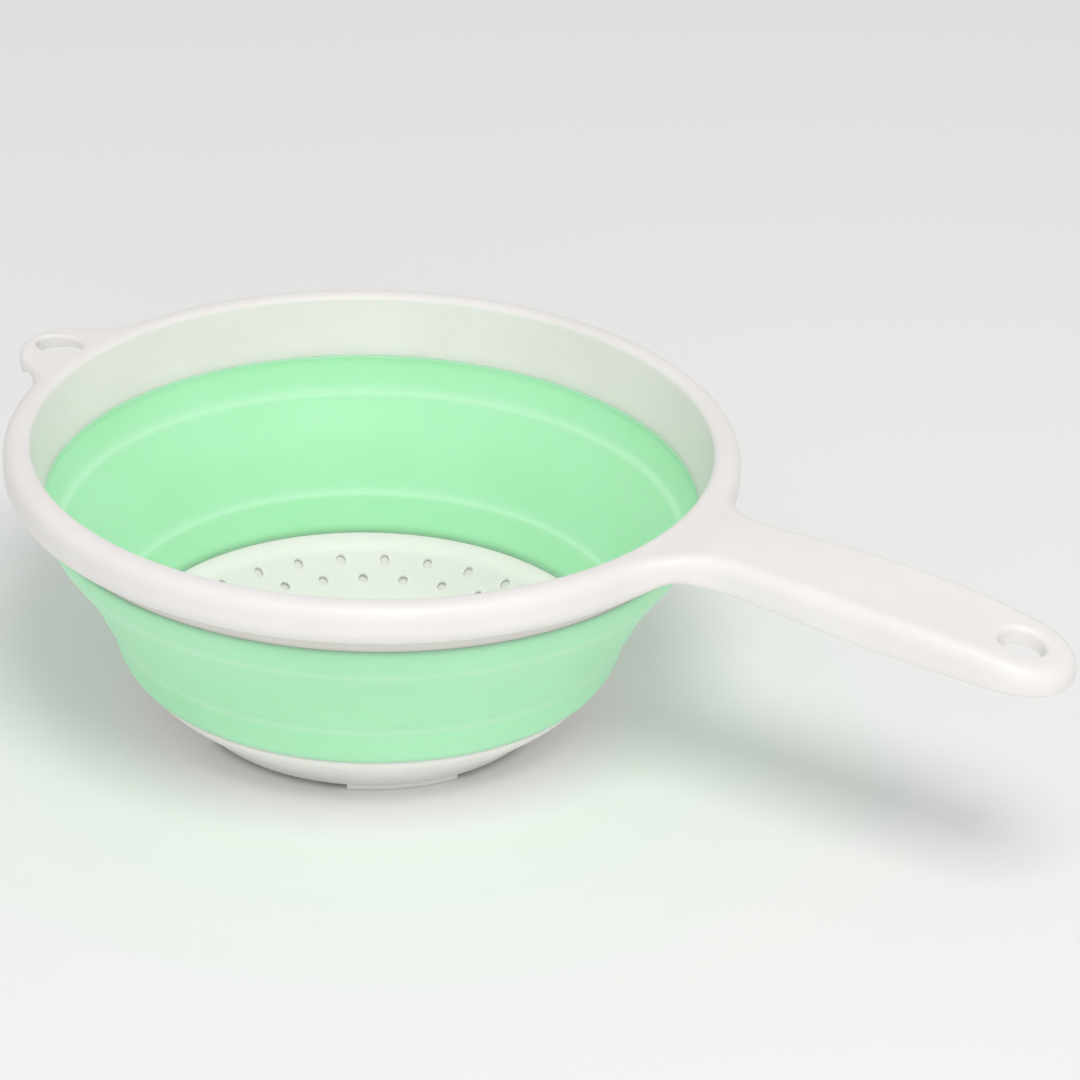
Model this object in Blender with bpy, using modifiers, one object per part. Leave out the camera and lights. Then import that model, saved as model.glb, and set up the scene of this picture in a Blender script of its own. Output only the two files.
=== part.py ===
"""Collapsible colander with a long handle.

One white moulding carries the rolled rim, the hanging handle and the rest ear. A soft green wall folds below it
in concentric bands, and ends in a perforated white base on four low feet. The Z axis is the bowl's axis, the
feet stand on z = 0 and the handle points along +X.
"""
import math

import bmesh
import bpy
import numpy as np
from mathutils import Matrix, Vector

# ---------------------------------------------------------------- driving dimensions (metres)
RING_SEGMENTS = 48            # facets round every turned piece
CLEARANCE = 0.0003            # gap between pieces that touch
MERGE = 0.00005               # merge distance of turned shapes

RIM_PLANE = 0.0935            # height of the rim's inner top edge
RIM_RADIUS = 0.1152           # outermost radius of the rolled rim
RIM_CREST = 0.0015            # how far the roll rises over the rim plane
ROLL_WIDTH = 0.0054           # outer shoulder of the roll, along the radius
ROLL_HEIGHT = 0.0052          # outer shoulder of the roll, in height
SHOULDER_POWER = 2.5          # fullness of the outer shoulders, 2 being an ellipse
BORE_RADIUS = 0.1066          # inner radius of the rim band at its top
INNER_ROLL_WIDTH = RIM_RADIUS - ROLL_WIDTH - BORE_RADIUS
INNER_ROLL_HEIGHT = 0.0018
RIM_LOWER_EDGE = -0.0116      # lip's lower edge, from the rim plane
RIM_TUCK = 0.0040             # how far the lip's lower edge turns in
TUCK_START = 0.40             # share of the lip's outer wall that stays upright
BAND_BOTTOM = -0.0184         # band's lower edge, from the rim plane
SHELL = 0.0018                # thickness of the frame moulding

HANDLE_END = 0.2413           # bowl axis to the handle's tip
HANDLE_TIP_LENGTH = 0.0190    # length of the rounded tip
HANDLE_TIP_POWER = 2.44
HANDLE_ROOT_FILLET = 0.0290
HANDLE_HALF_WIDTH = ((0.115, 0.0150), (0.150, 0.0172), (0.185, 0.0184), (0.215, 0.0171), (0.240, 0.0150))
HANDLE_TOP = ((0.108, 0.0015), (0.150, 0.0032), (0.185, 0.0019), (0.215, -0.0008), (0.240, -0.0059))
HANDLE_EDGE = ((0.120, -0.0066), (0.137, -0.0072), (0.160, -0.0084), (0.195, -0.0106), (0.240, -0.0130))
HANDLE_SHOULDER = 0.0050      # shoulder radius along the handle
HANDLE_TUCK = 0.0005
HANDLE_HOLE = (0.2250, 0.0070, 0.0068)     # centre, half length, half width
HANDLE_HOLE_DEPTH = 0.0058

EAR_RADIUS = 0.0175
EAR_CENTRE = 0.1146
EAR_ROOT_FILLET = 0.0220
EAR_TOP = 0.0013
EAR_EDGE = ((0.1110, -0.0116), (0.1150, -0.0032), (0.1247, -0.0032), (0.1249, -0.0052), (0.1330, -0.0052))
EAR_SHOULDER_WIDTH = 0.0026
EAR_SHOULDER_HEIGHT = 0.0022
EAR_HOLE = (0.1205, 0.0080, 0.0064)
EAR_HOLE_DEPTH = 0.0036

HOLE_COLLAR = 0.0020          # wall round each hanging hole
HOLE_FLARE = 0.0014           # how far each hanging hole widens at its upper lip

WALL_OUTER = ((0.1050, -0.0187), (0.1009, -0.0298), (0.0914, -0.0415), (0.0830, -0.0582),
              (0.0816, -0.0632), (0.0809, -0.0672), (0.0786, -0.0711))
WALL_INNER = ((0.1030, -0.0187), (0.0990, -0.0309), (0.0884, -0.0424), (0.0808, -0.0592),
              (0.0788, -0.0640), (0.0775, -0.0690), (0.0765, -0.0711))
WALL_TOP = WALL_OUTER[0][1]
WALL_BOTTOM = WALL_OUTER[-1][1]
FOLDS = (("upper", -0.0280, -0.0330), ("middle", -0.0385, -0.0435), ("lower", -0.0540, -0.0600))

# the base is a thin dish with a skirt round it; the hollow between them is open below
DISH_TOP = ((0.0, 0.0072), (0.0560, 0.0072), (0.0600, 0.0088), (0.0636, 0.0116), (0.0693, 0.0160))
DISH_UNDER = ((0.0720, 0.0172), (0.0693, 0.0149), (0.0636, 0.0105), (0.0600, 0.0077), (0.0568, 0.0062),
              (0.0540, 0.0052), (0.0, 0.0052))
SKIRT_OUTSIDE = ((0.0714, 0.0150), (0.0689, 0.0126), (0.0683, 0.0120), (0.0656, 0.0100), (0.0624, 0.0073),
                 (0.0590, 0.0044), (0.0560, 0.0015))
SKIRT_INSIDE = ((0.0544, 0.0015), (0.0566, 0.0036), (0.0600, 0.0070), (0.0636, 0.0098), (0.0693, 0.0142),
                (0.0720, 0.0165))
HOLLOW_HEIGHT = 0.0007        # height of the hollow between dish and skirt
FOOT_COUNT = 4
FOOT_ARC = math.radians(37.0)
FOOT_MIDDLE = math.radians(-45.9)
FOOT_SECTION = ((0.0539, 0.0026), (0.0562, 0.0026), (0.0564, 0.0), (0.0541, 0.0))
DRAIN_RADIUS = 0.0015
DRAIN_PHASE = math.radians(4.5)
DRAIN_PIN_LENGTH = 0.0500     # length of the pins that open the drain holes
# radius, number of holes and shift in hole pitches of each ring of drain holes
DRAIN_RINGS = ((0.0693, 30, 0.5), (0.0636, 30, 0.0), (0.0520, 24, 0.5), (0.0410, 20, 0.0),
               (0.0300, 12, 0.5), (0.0190, 8, 0.0), (0.0080, 4, 0.5))

HANDLE_BLEND = (0.112, 0.128)  # stretch of the handle's root over which the roll becomes its shoulder
HANDLE_TOP_BLEND = (0.106, 0.124)
HANDLE_EDGE_BLEND = (0.110, 0.121)
EAR_BLEND = (0.110, 0.119)
HANDLE_ROWS, HANDLE_COLUMNS = 14, 12
EAR_ROWS, EAR_COLUMNS = 6, 10
SIDE_COLUMNS = 20             # columns on each side of the rim, between the handle and the ear
INNER_STEPS, ROLL_STEPS = 2, 4
ROW_BEND = 0.45               # share of an arm over which its rows bend at either end
WALL_ROWS = (0.40, 0.78, 1.00)
BAND_ROWS = ((0.1046, -0.0090), (0.1026, BAND_BOTTOM))

WHITE = (0.84, 0.83, 0.81, 1.0)
MINT = (0.40, 0.78, 0.50, 1.0)


# ---------------------------------------------------------------- scene helpers
def clear_scene():
    for item in list(bpy.data.objects):
        bpy.data.objects.remove(item, do_unlink=True)


def new_collection(name):
    group = bpy.data.collections.new(name)
    bpy.context.scene.collection.children.link(group)
    return group


def new_material(name, colour, roughness):
    material = bpy.data.materials.new(name)
    material.use_nodes = True
    shader = material.node_tree.nodes["Principled BSDF"]
    shader.inputs["Base Color"].default_value = colour
    shader.inputs["Roughness"].default_value = roughness
    shader.inputs["Metallic"].default_value = 0.0
    material.diffuse_color = colour
    return material


def new_object(name, mesh, group, material=None):
    item = bpy.data.objects.new(name, mesh)
    group.objects.link(item)
    if material:
        mesh.materials.append(material)
    return item


def new_cutter(name, shape, group):
    """An object from a bmesh that only cuts or joins other pieces."""
    bmesh.ops.recalc_face_normals(shape, faces=shape.faces)
    mesh = bpy.data.meshes.new(name)
    shape.to_mesh(mesh)
    shape.free()
    item = new_object(name, mesh, group)
    item.hide_render = True
    item.display_type = "WIRE"
    return item


def boolean(item, other, operation="DIFFERENCE"):
    modifier = item.modifiers.new(other.name, "BOOLEAN")
    modifier.operation = operation
    modifier.object = other
    modifier.solver = "EXACT"


def smooth_step(low, high, value):
    share = np.clip((value - low) / (high - low), 0.0, 1.0)
    return share * share * (3.0 - 2.0 * share)


def turned(name, profile, group, material, closed=True):
    """An outline of (radius, height) points, turned about Z. It runs down its outer side."""
    mesh = bpy.data.meshes.new(name)
    points = [(radius, 0.0, height) for radius, height in profile]
    edges = [(i, i + 1) for i in range(len(points) - 1)]
    if closed:
        edges.append((len(points) - 1, 0))
    mesh.from_pydata(points, edges, [])
    item = new_object(name, mesh, group, material)
    screw = item.modifiers.new("turn", "SCREW")
    screw.steps = RING_SEGMENTS
    screw.render_steps = RING_SEGMENTS
    screw.use_merge_vertices = True
    screw.merge_threshold = MERGE
    screw.use_smooth_shade = True
    return item


# ---------------------------------------------------------------- soft folding wall
def radius_at(line, height):
    """Radius of a side line at a height, both counted from the rim plane."""
    radii, heights = zip(*reversed(line))
    return float(np.interp(height, heights, radii))


def wall_band(name, top, bottom, group, material):
    """The part of the wall between two heights."""
    def side(line):
        kinks = [height for _, height in line if bottom + CLEARANCE < height < top - CLEARANCE]
        return [(radius_at(line, height), height) for height in (top, *kinks, bottom)]

    outline = side(WALL_OUTER) + side(WALL_INNER)[::-1]
    return turned(name, [(radius, height + RIM_PLANE) for radius, height in outline], group, material)


def folding_wall(group, material):
    """Four stiff bands, and between each two a thin ring that folds."""
    names = ("wall_top_band", "wall_upper_band", "wall_middle_band", "wall_lower_band")
    tops = (WALL_TOP - CLEARANCE, *(low for _, _, low in FOLDS))
    bottoms = (*(high for _, high, _ in FOLDS), WALL_BOTTOM)
    for name, top, bottom in zip(names, tops, bottoms):
        wall_band(name, top, bottom, group, material)
    for place, high, low in FOLDS:
        wall_band(f"fold_ring_{place}", high - CLEARANCE, low + CLEARANCE, group, material)


# ---------------------------------------------------------------- perforated base
def foot(index, group):
    """A low foot: a slice of a ring, turned through its own arc."""
    start = FOOT_MIDDLE + index * 2 * math.pi / FOOT_COUNT - FOOT_ARC / 2
    shape = bmesh.new()
    corners = [shape.verts.new((radius * math.cos(start), radius * math.sin(start), height))
               for radius, height in FOOT_SECTION]
    face = shape.faces.new(corners)
    bmesh.ops.spin(shape, geom=[face], cent=(0, 0, 0), axis=(0, 0, 1), angle=FOOT_ARC, steps=8)
    return new_cutter(f"foot_{index}", shape, group)


def drain_pins(group):
    """Upright pins for all the drain holes, in one cutter. Over the skirt they end in the hollow."""
    radii, heights = np.array(DISH_UNDER[::-1]).T
    shape = bmesh.new()
    for radius, count, shift in DRAIN_RINGS:
        for index in range(count):
            angle = DRAIN_PHASE + (index + shift) * 2 * math.pi / count
            pin = bmesh.ops.create_cone(shape, cap_ends=True, cap_tris=True, segments=6, radius1=DRAIN_RADIUS,
                                        radius2=DRAIN_RADIUS, depth=DRAIN_PIN_LENGTH)
            place = Vector((radius * math.cos(angle), radius * math.sin(angle), DRAIN_PIN_LENGTH / 2))
            bmesh.ops.translate(shape, verts=pin["verts"], vec=place)
            lower_end = [vertex for vertex in pin["verts"] if vertex.co.z < DRAIN_PIN_LENGTH / 2]
            for vertex in lower_end:
                reach = vertex.co.xy.length
                vertex.co.z = float(np.interp(reach, radii, heights)) - HOLLOW_HEIGHT / 2
    return new_cutter("drain_pins", shape, group)


def perforated_base(group, cutters, material):
    seat = RIM_PLANE + WALL_BOTTOM - CLEARANCE
    rim = ((radius_at(WALL_INNER, WALL_BOTTOM), seat), (radius_at(WALL_OUTER, WALL_BOTTOM), seat))
    outline = DISH_TOP + rim + SKIRT_OUTSIDE + SKIRT_INSIDE + DISH_UNDER
    base = turned("base", outline, group, material, closed=False)
    for index in range(FOOT_COUNT):
        boolean(base, foot(index, cutters), "UNION")
    boolean(base, drain_pins(cutters))


# ---------------------------------------------------------------- outline of the frame
def through(points, position):
    """A smooth curve through an arm's (distance, value) points, level past its ends."""
    along, value = np.array(points).T
    middle = along.mean()
    terms = np.polyfit(along - middle, value, len(points) - 1)
    return np.polyval(terms, np.clip(position, along[0], along[-1]) - middle)


def fillet_to_rim(radius, point_radius, point_s=None):
    """Centre of a fillet that touches the rim's circle and a line or a circle on the arm."""
    span = RIM_RADIUS + radius
    if point_s is None:
        return math.sqrt(span ** 2 - point_radius ** 2), point_radius
    s = (span ** 2 - point_radius ** 2 + point_s ** 2) / (2 * point_s)
    return s, math.sqrt(span ** 2 - s ** 2)


HANDLE_FILLET_CENTRE = fillet_to_rim(HANDLE_ROOT_FILLET, HANDLE_HALF_WIDTH[0][1] + HANDLE_ROOT_FILLET)
EAR_FILLET_CENTRE = fillet_to_rim(EAR_ROOT_FILLET, EAR_RADIUS + EAR_ROOT_FILLET, EAR_CENTRE)


def handle_half_width(s):
    """Half the handle's width at a distance from the bowl's axis, with the fillet at its root."""
    fillet = HANDLE_ROOT_FILLET
    flare = fillet - np.sqrt(fillet ** 2 - np.clip(HANDLE_FILLET_CENTRE[0] - s, 0.0, fillet) ** 2)
    tip = np.clip((s - HANDLE_END + HANDLE_TIP_LENGTH) / HANDLE_TIP_LENGTH, 0.0, 1.0)
    rounding = (1.0 - tip ** HANDLE_TIP_POWER) ** (1.0 / HANDLE_TIP_POWER)
    return through(HANDLE_HALF_WIDTH, s) * rounding + flare


def ear_half_width(s):
    """Half the ear's width: a round lobe with a fillet to the rim on either side."""
    fillet_s, fillet_u = EAR_FILLET_CENTRE
    join = EAR_CENTRE + (fillet_s - EAR_CENTRE) * EAR_RADIUS / (EAR_RADIUS + EAR_ROOT_FILLET)
    flare = fillet_u - np.sqrt(np.clip(EAR_ROOT_FILLET ** 2 - (s - fillet_s) ** 2, 0.0, None))
    lobe = np.sqrt(np.clip(EAR_RADIUS ** 2 - (s - EAR_CENTRE) ** 2, 0.0, None))
    return np.where(s < join, flare, lobe)


class Arm:
    """The handle or the ear: its outline and heights over (s, u), along the arm and across it."""

    def __init__(self, sign, half_width, fillet, fillet_s, end, rows, columns):
        self.sign = sign
        self.half_width = half_width
        self.end = end
        self.rows = rows
        self.across = np.sin(np.linspace(-math.pi / 2, math.pi / 2, columns + 1))
        self.root = fillet_s * RIM_RADIUS / (RIM_RADIUS + fillet)
        s = np.linspace((self.root + end) / 2, end, 4000)
        self.corner = float(s[np.argmax(np.gradient(half_width(s), s) < -1.0)])

    def root_angles(self):
        """Angles at which the arm's columns start on the rim's circle."""
        middle = 0.0 if self.sign > 0 else math.pi
        return middle + np.arcsin(self.across * float(self.half_width(self.root)) / RIM_RADIUS)

    def grid(self):
        """Plan positions of all rows. They bend from the rim's circle into the outline of the tip."""
        length = self.corner - self.root
        reach = self.root + length * np.sin(np.linspace(0.0, math.pi / 2, self.rows + 1))
        width = self.half_width(reach)
        arc = np.sqrt(RIM_RADIUS ** 2 - (self.across * width[0]) ** 2) - reach[0]
        s = np.linspace(self.corner, self.end, 2000)
        tip = np.interp(np.abs(self.across) * width[-1], self.half_width(s)[::-1], s[::-1]) - self.corner
        near_root = 1.0 - smooth_step(self.root, self.root + ROW_BEND * length, reach)
        near_tip = smooth_step(self.corner - ROW_BEND * length, self.corner, reach)
        along = reach[:, None] + near_root[:, None] * arc + near_tip[:, None] * tip
        plan = np.stack([along, width[:, None] * self.across], axis=-1)
        return plan[1:] * self.sign


# ---------------------------------------------------------------- heights of the frame over its plan
def by_arm(plan, rim_value, handle_value, ear_value):
    """A value that passes from the rim's to the handle's or the ear's own along each root."""
    x = plan[..., 0]
    value = rim_value + (handle_value - rim_value) * smooth_step(*HANDLE_BLEND, x)
    return value + (ear_value - rim_value) * smooth_step(*EAR_BLEND, -x)


def top_height(plan):
    x = plan[..., 0]
    handle = (through(HANDLE_TOP, x) - RIM_CREST) * smooth_step(*HANDLE_TOP_BLEND, x)
    ear = (EAR_TOP - RIM_CREST) * smooth_step(*EAR_BLEND, -x)
    return RIM_CREST + handle + ear


def lower_edge(plan):
    x = plan[..., 0]
    handle = (through(HANDLE_EDGE, x) - RIM_LOWER_EDGE) * smooth_step(*HANDLE_EDGE_BLEND, x)
    ear_s, ear_z = np.array(EAR_EDGE).T
    return np.where(x > 0.0, RIM_LOWER_EDGE + handle, np.interp(-x, ear_s, ear_z))


def quarter_round(distance, width, height, power=2.0):
    """How far a rounded shoulder lies below its top, at a distance from its edge."""
    share = 1.0 - np.clip(distance / width, 0.0, 1.0)
    return height * (1.0 - (1.0 - share ** power) ** (1.0 / power))


def shoulder_height(plan):
    return by_arm(plan, ROLL_HEIGHT, HANDLE_SHOULDER, EAR_SHOULDER_HEIGHT)


def distance_to(outline, plan):
    """Shortest distance from each plan position to a closed line."""
    start = outline
    step = np.roll(outline, -1, axis=0) - start
    offset = plan[..., None, :] - start
    share = np.clip((offset * step).sum(-1) / (step ** 2).sum(-1), 0.0, 1.0)
    return np.linalg.norm(offset - share[..., None] * step, axis=-1).min(-1)


def sheet_height(outline, plan):
    width = by_arm(plan, ROLL_WIDTH, HANDLE_SHOULDER, EAR_SHOULDER_WIDTH)
    outer = quarter_round(distance_to(outline, plan), width, shoulder_height(plan), SHOULDER_POWER)
    inner = quarter_round(np.linalg.norm(plan, axis=-1) - BORE_RADIUS, INNER_ROLL_WIDTH, INNER_ROLL_HEIGHT)
    return top_height(plan) - outer - inner


# ---------------------------------------------------------------- frame: rim, handle and ear in one moulding
def roll(width, steps):
    """Distances from an edge at which a rounded shoulder is sampled."""
    return width * (1.0 - np.cos(np.linspace(0.0, math.pi / 2, steps + 1)))


def rim_angles(handle, ear):
    """Angles of the rim's columns, counterclockwise from the handle's first one."""
    near, far = handle.root_angles(), ear.root_angles()
    left = np.linspace(near[-1], far[0], SIDE_COLUMNS + 1)[1:-1]
    right = np.linspace(far[-1], near[0] + 2 * math.pi, SIDE_COLUMNS + 1)[1:-1]
    return np.concatenate([near, left, far, right]), len(near) + len(left)


def frame_sheet():
    """The outer skin of the frame as an open mesh: top, outer wall and band."""
    handle = Arm(1, handle_half_width, HANDLE_ROOT_FILLET, HANDLE_FILLET_CENTRE[0], HANDLE_END, HANDLE_ROWS,
                 HANDLE_COLUMNS)
    ear = Arm(-1, ear_half_width, EAR_ROOT_FILLET, EAR_FILLET_CENTRE[0], EAR_CENTRE + EAR_RADIUS, EAR_ROWS,
              EAR_COLUMNS)
    angles, ear_first = rim_angles(handle, ear)
    inner = BORE_RADIUS + roll(INNER_ROLL_WIDTH, INNER_STEPS)
    outer = RIM_RADIUS - roll(ROLL_WIDTH, ROLL_STEPS)[-2::-1]
    radii = np.concatenate([inner, outer])
    rim = radii[:, None, None] * np.stack([np.cos(angles), np.sin(angles)], axis=-1)

    plans, ids, used = [], [], 0
    for plan in (rim, handle.grid(), ear.grid()):
        plans.append(plan.reshape(-1, 2))
        ids.append(np.arange(used, used + len(plans[-1])).reshape(plan.shape[:2]))
        used += len(plans[-1])
    rim_ids = ids[0]
    arm_ids = []
    for first, arm in ((0, ids[1]), (ear_first, ids[2])):
        arm_ids.append(np.vstack([rim_ids[-1, first:first + arm.shape[1]], arm]))
    loop = []
    for first, last, arm in ((0, ear_first, arm_ids[0]), (ear_first, len(angles), arm_ids[1])):
        loop += [*arm[:-1, 0], *arm[-1, :-1], *arm[:0:-1, -1], *rim_ids[-1, first + arm.shape[1] - 1:last]]
    plan = np.concatenate(plans)
    outline = plan[loop]
    points = [np.column_stack([plan, sheet_height(outline, plan)])]

    faces = []
    around = np.append(np.arange(len(angles)), 0)
    for grid in (rim_ids[:, around], *arm_ids):
        faces += zip(*(part.ravel() for part in (grid[:-1, :-1], grid[1:, :-1], grid[1:, 1:], grid[:-1, 1:])))

    along = np.roll(outline, -1, axis=0) - np.roll(outline, 1, axis=0)
    inward = np.stack([-along[:, 1], along[:, 0]], axis=-1) / np.linalg.norm(along, axis=1)[:, None]
    edge = top_height(outline) - shoulder_height(outline)
    tuck = by_arm(outline, RIM_TUCK, HANDLE_TUCK, HANDLE_TUCK)
    above = np.array(loop)
    for share in WALL_ROWS:
        turn = quarter_round(1.0 - share, 1.0 - TUCK_START, 1.0)
        place = outline + inward * (tuck * turn)[:, None]
        points.append(np.column_stack([place, edge + share * (lower_edge(outline) - edge)]))
        below = used + np.arange(len(loop))
        used += len(loop)
        faces += zip(above, below, np.roll(below, -1), np.roll(above, -1))
        above = below

    above = rim_ids[0]
    for radius, height in BAND_ROWS:
        points.append(np.column_stack([rim[0] * radius / BORE_RADIUS, np.full(len(angles), height)]))
        below = used + np.arange(len(angles))
        used += len(angles)
        faces += zip(above, np.roll(above, -1), np.roll(below, -1), below)
        above = below
    points = np.concatenate(points) + (0.0, 0.0, RIM_PLANE)
    return points, [tuple(int(i) for i in face) for face in faces]


def oval_pin(name, hole, sign, sizes, heights, tilt, group):
    """An upright oval pin or cone at a hanging hole, tilted with the surface round it."""
    centre, half_length, half_width = hole
    low, high = heights
    shape = bmesh.new()
    pin = bmesh.ops.create_cone(shape, cap_ends=True, segments=20, radius1=1.0, radius2=sizes[1] / sizes[0],
                                depth=high - low)
    bmesh.ops.scale(shape, verts=pin["verts"], vec=(half_length * sizes[0], half_width * sizes[0], 1.0))
    bmesh.ops.translate(shape, verts=pin["verts"], vec=(0.0, 0.0, (low + high) / 2))
    bmesh.ops.rotate(shape, verts=pin["verts"], cent=(0, 0, 0), matrix=Matrix.Rotation(tilt, 3, "Y"))
    surface = RIM_PLANE + float(top_height(np.array([sign * centre, 0.0])))
    bmesh.ops.translate(shape, verts=pin["verts"], vec=(sign * centre, 0.0, surface))
    return new_cutter(name, shape, group)


def hanging_hole(frame, name, hole, sign, depth, tilt, group):
    """A collar under the surface, a straight hole through it and a flared upper lip."""
    wall = 1.0 + HOLE_COLLAR / hole[2]
    lip = 1.0 + HOLE_FLARE / hole[2]
    wide = 1.0 + 2 * HOLE_FLARE / hole[2]
    collar = oval_pin(f"{name}_collar", hole, sign, (wall, wall), (-depth, -SHELL / 2), 0.0, group)
    pin = oval_pin(f"{name}_pin", hole, sign, (1.0, 1.0), (-4 * depth, 2 * depth), 0.0, group)
    flare = oval_pin(f"{name}_flare", hole, sign, (2.0 - lip, wide), (-4 * HOLE_FLARE, 2 * HOLE_FLARE), tilt,
                     group)
    boolean(frame, collar, "UNION")
    boolean(frame, pin)
    boolean(frame, flare)


def moulded_frame(group, cutters, material):
    points, faces = frame_sheet()
    mesh = bpy.data.meshes.new("frame")
    mesh.from_pydata(points, [], faces)
    mesh.shade_smooth()
    frame = new_object("frame", mesh, group, material)
    shell = frame.modifiers.new("shell", "SOLIDIFY")
    shell.thickness = SHELL
    shell.offset = -1.0
    handle_tilt = math.atan2(HANDLE_TOP[-2][1] - HANDLE_TOP[-1][1], HANDLE_TOP[-1][0] - HANDLE_TOP[-2][0])
    hanging_hole(frame, "handle_hole", HANDLE_HOLE, 1, HANDLE_HOLE_DEPTH, handle_tilt, cutters)
    hanging_hole(frame, "ear_hole", EAR_HOLE, -1, EAR_HOLE_DEPTH, 0.0, cutters)


def main():
    clear_scene()
    parts = new_collection("collapsible_colander")
    cutters = new_collection("cutters")
    white = new_material("white_plastic", WHITE, 0.38)
    mint = new_material("mint_rubber", MINT, 0.55)
    moulded_frame(parts, cutters, white)
    folding_wall(parts, mint)
    perforated_base(parts, cutters, white)


main()
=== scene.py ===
"""Looks of the collapsible colander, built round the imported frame.

Three moulded pieces are shown: the white frame with its handle and ear, the soft green folding wall and the
white perforated base. Sizes are in metres. Heights of the base are counted from the plane the feet stand on,
and those of the frame and the wall from the rim plane.
"""
import math
from collections import namedtuple

import bpy
import numpy as np
from mathutils import Matrix, Vector


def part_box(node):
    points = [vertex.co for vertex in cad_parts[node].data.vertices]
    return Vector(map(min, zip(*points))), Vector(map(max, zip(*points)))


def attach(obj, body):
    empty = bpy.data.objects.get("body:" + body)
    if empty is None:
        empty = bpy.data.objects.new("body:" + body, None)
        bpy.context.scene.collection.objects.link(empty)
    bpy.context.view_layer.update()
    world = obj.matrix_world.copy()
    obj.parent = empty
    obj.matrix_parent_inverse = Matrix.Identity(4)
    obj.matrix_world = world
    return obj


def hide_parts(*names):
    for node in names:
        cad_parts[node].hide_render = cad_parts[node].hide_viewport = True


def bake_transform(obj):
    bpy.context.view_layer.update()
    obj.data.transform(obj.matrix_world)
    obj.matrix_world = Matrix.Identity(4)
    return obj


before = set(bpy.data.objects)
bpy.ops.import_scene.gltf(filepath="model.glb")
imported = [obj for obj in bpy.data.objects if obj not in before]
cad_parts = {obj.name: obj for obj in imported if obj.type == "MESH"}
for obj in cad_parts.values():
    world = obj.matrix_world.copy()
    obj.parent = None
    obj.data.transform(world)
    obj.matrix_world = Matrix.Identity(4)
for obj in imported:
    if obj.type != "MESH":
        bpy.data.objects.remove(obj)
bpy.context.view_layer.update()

# ---------------------------------------------------------------- overall sizes
RIM_PLANE = 0.0935             # height of the rim's inner top edge over the feet
RIM_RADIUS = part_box("frame")[1].y
HANDLE_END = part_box("frame")[1].x
EAR_END = -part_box("frame")[0].x
SHELL = 0.0018                 # thickness of the frame moulding

# ---------------------------------------------------------------- rim
RIM_CREST = 0.0015
ROLL_WIDTH, ROLL_HEIGHT = 0.0054, 0.0052
SHOULDER_POWER = 2.5
BORE_RADIUS = 0.1066
INNER_ROLL_WIDTH, INNER_ROLL_HEIGHT = RIM_RADIUS - ROLL_WIDTH - BORE_RADIUS, 0.0018
RIM_LOWER_EDGE = -0.0116
RIM_TUCK = 0.0040
TUCK_START = 0.40
BAND_BOTTOM = -0.0184
BAND_DRAFT = 0.0040
SIDE_COLUMNS = 120             # columns on each side of the rim, between the handle and the ear
SHOULDER_STEPS, LIP_WALL_STEPS, INNER_ROLL_STEPS, BAND_STEPS = 14, 12, 8, 5
FRAME_EDGE_ROUND = 0.00035

# ---------------------------------------------------------------- handle and ear
HANDLE_TIP_LENGTH, HANDLE_TIP_POWER = 0.0190, 2.44
HANDLE_FILLET = 0.0290
HANDLE_HALF_WIDTH = ((0.115, 0.0150), (0.150, 0.0172), (0.185, 0.0184), (0.215, 0.0171), (0.240, 0.0150))
HANDLE_TOP = ((0.108, 0.0015), (0.150, 0.0032), (0.185, 0.0019), (0.215, -0.0008), (0.240, -0.0059))
HANDLE_EDGE = ((0.120, -0.0066), (0.137, -0.0072), (0.160, -0.0084), (0.195, -0.0106), (0.240, -0.0130))
HANDLE_TOP_BLEND = (0.106, 0.124)
HANDLE_EDGE_BLEND = (0.110, 0.121)
HANDLE_SHOULDER = 0.0050
HANDLE_TUCK = 0.0005
HANDLE_BLEND = (0.112, 0.128)
HANDLE_GRID = (70, 18)         # rows and columns
EAR_RADIUS, EAR_CENTRE, EAR_FILLET = 0.0175, 0.1146, 0.0220
EAR_TOP = 0.0013
EAR_EDGE = ((0.1110, -0.0116), (0.1150, -0.0032), (0.1247, -0.0032), (0.1249, -0.0052), (0.1330, -0.0052))
EAR_SHOULDER_WIDTH, EAR_SHOULDER_HEIGHT = 0.0026, 0.0022
EAR_BLEND = (0.110, 0.119)
EAR_GRID = (22, 24)
OUTLINE_SAMPLES = 8000         # points of an arm's side line before it is spaced evenly

# ---------------------------------------------------------------- hanging holes
# centre, half length, half width, lip radius, depth and slant
HANDLE_HOLE = (0.2250, 0.0070, 0.0068, 0.0019, 0.0058, 0.0)
EAR_HOLE = (0.1205, 0.0080, 0.0064, 0.0010, 0.0034, 0.0013)
HOLE_RINGS = (0.3, 0.55, 0.75, 0.9, 1.0)     # places of the rings between the open block and the lip
HOLE_LIP_STEPS, HOLE_WALL_STEPS = 6, 4

# ---------------------------------------------------------------- marks and painted shade on the frame, from the feet's plane
GATE_MARK, GATE_RADIUS = (0.2362, 0.0030, RIM_PLANE - 0.0062), 0.0008
# heights and radii between which the outside of the rim's band turns greyer: painted shade under the rim's
# lip
LIP_SHADE_HEIGHTS, LIP_SHADE_RADII = (RIM_PLANE - 0.0146, RIM_PLANE - 0.0134), (0.1040, 0.1043)


# ---------------------------------------------------------------- helpers
def smooth_step(low, high, value):
    share = np.clip((value - low) / (high - low), 0.0, 1.0)
    return share * share * (3.0 - 2.0 * share)


def through(points, position):
    """A smooth curve through (position, value) points, level past its ends."""
    along, value = np.array(points).T
    middle = along.mean()
    terms = np.polyfit(along - middle, value, len(points) - 1)
    return np.polyval(terms, np.clip(position, along[0], along[-1]) - middle)


def quarter_round(distance, width, height):
    """How far a rounded shoulder lies below its top, at a distance from its edge."""
    share = 1.0 - np.clip(distance / width, 0.0, 1.0)
    return height * (1.0 - np.sqrt(1.0 - share ** 2))


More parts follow.
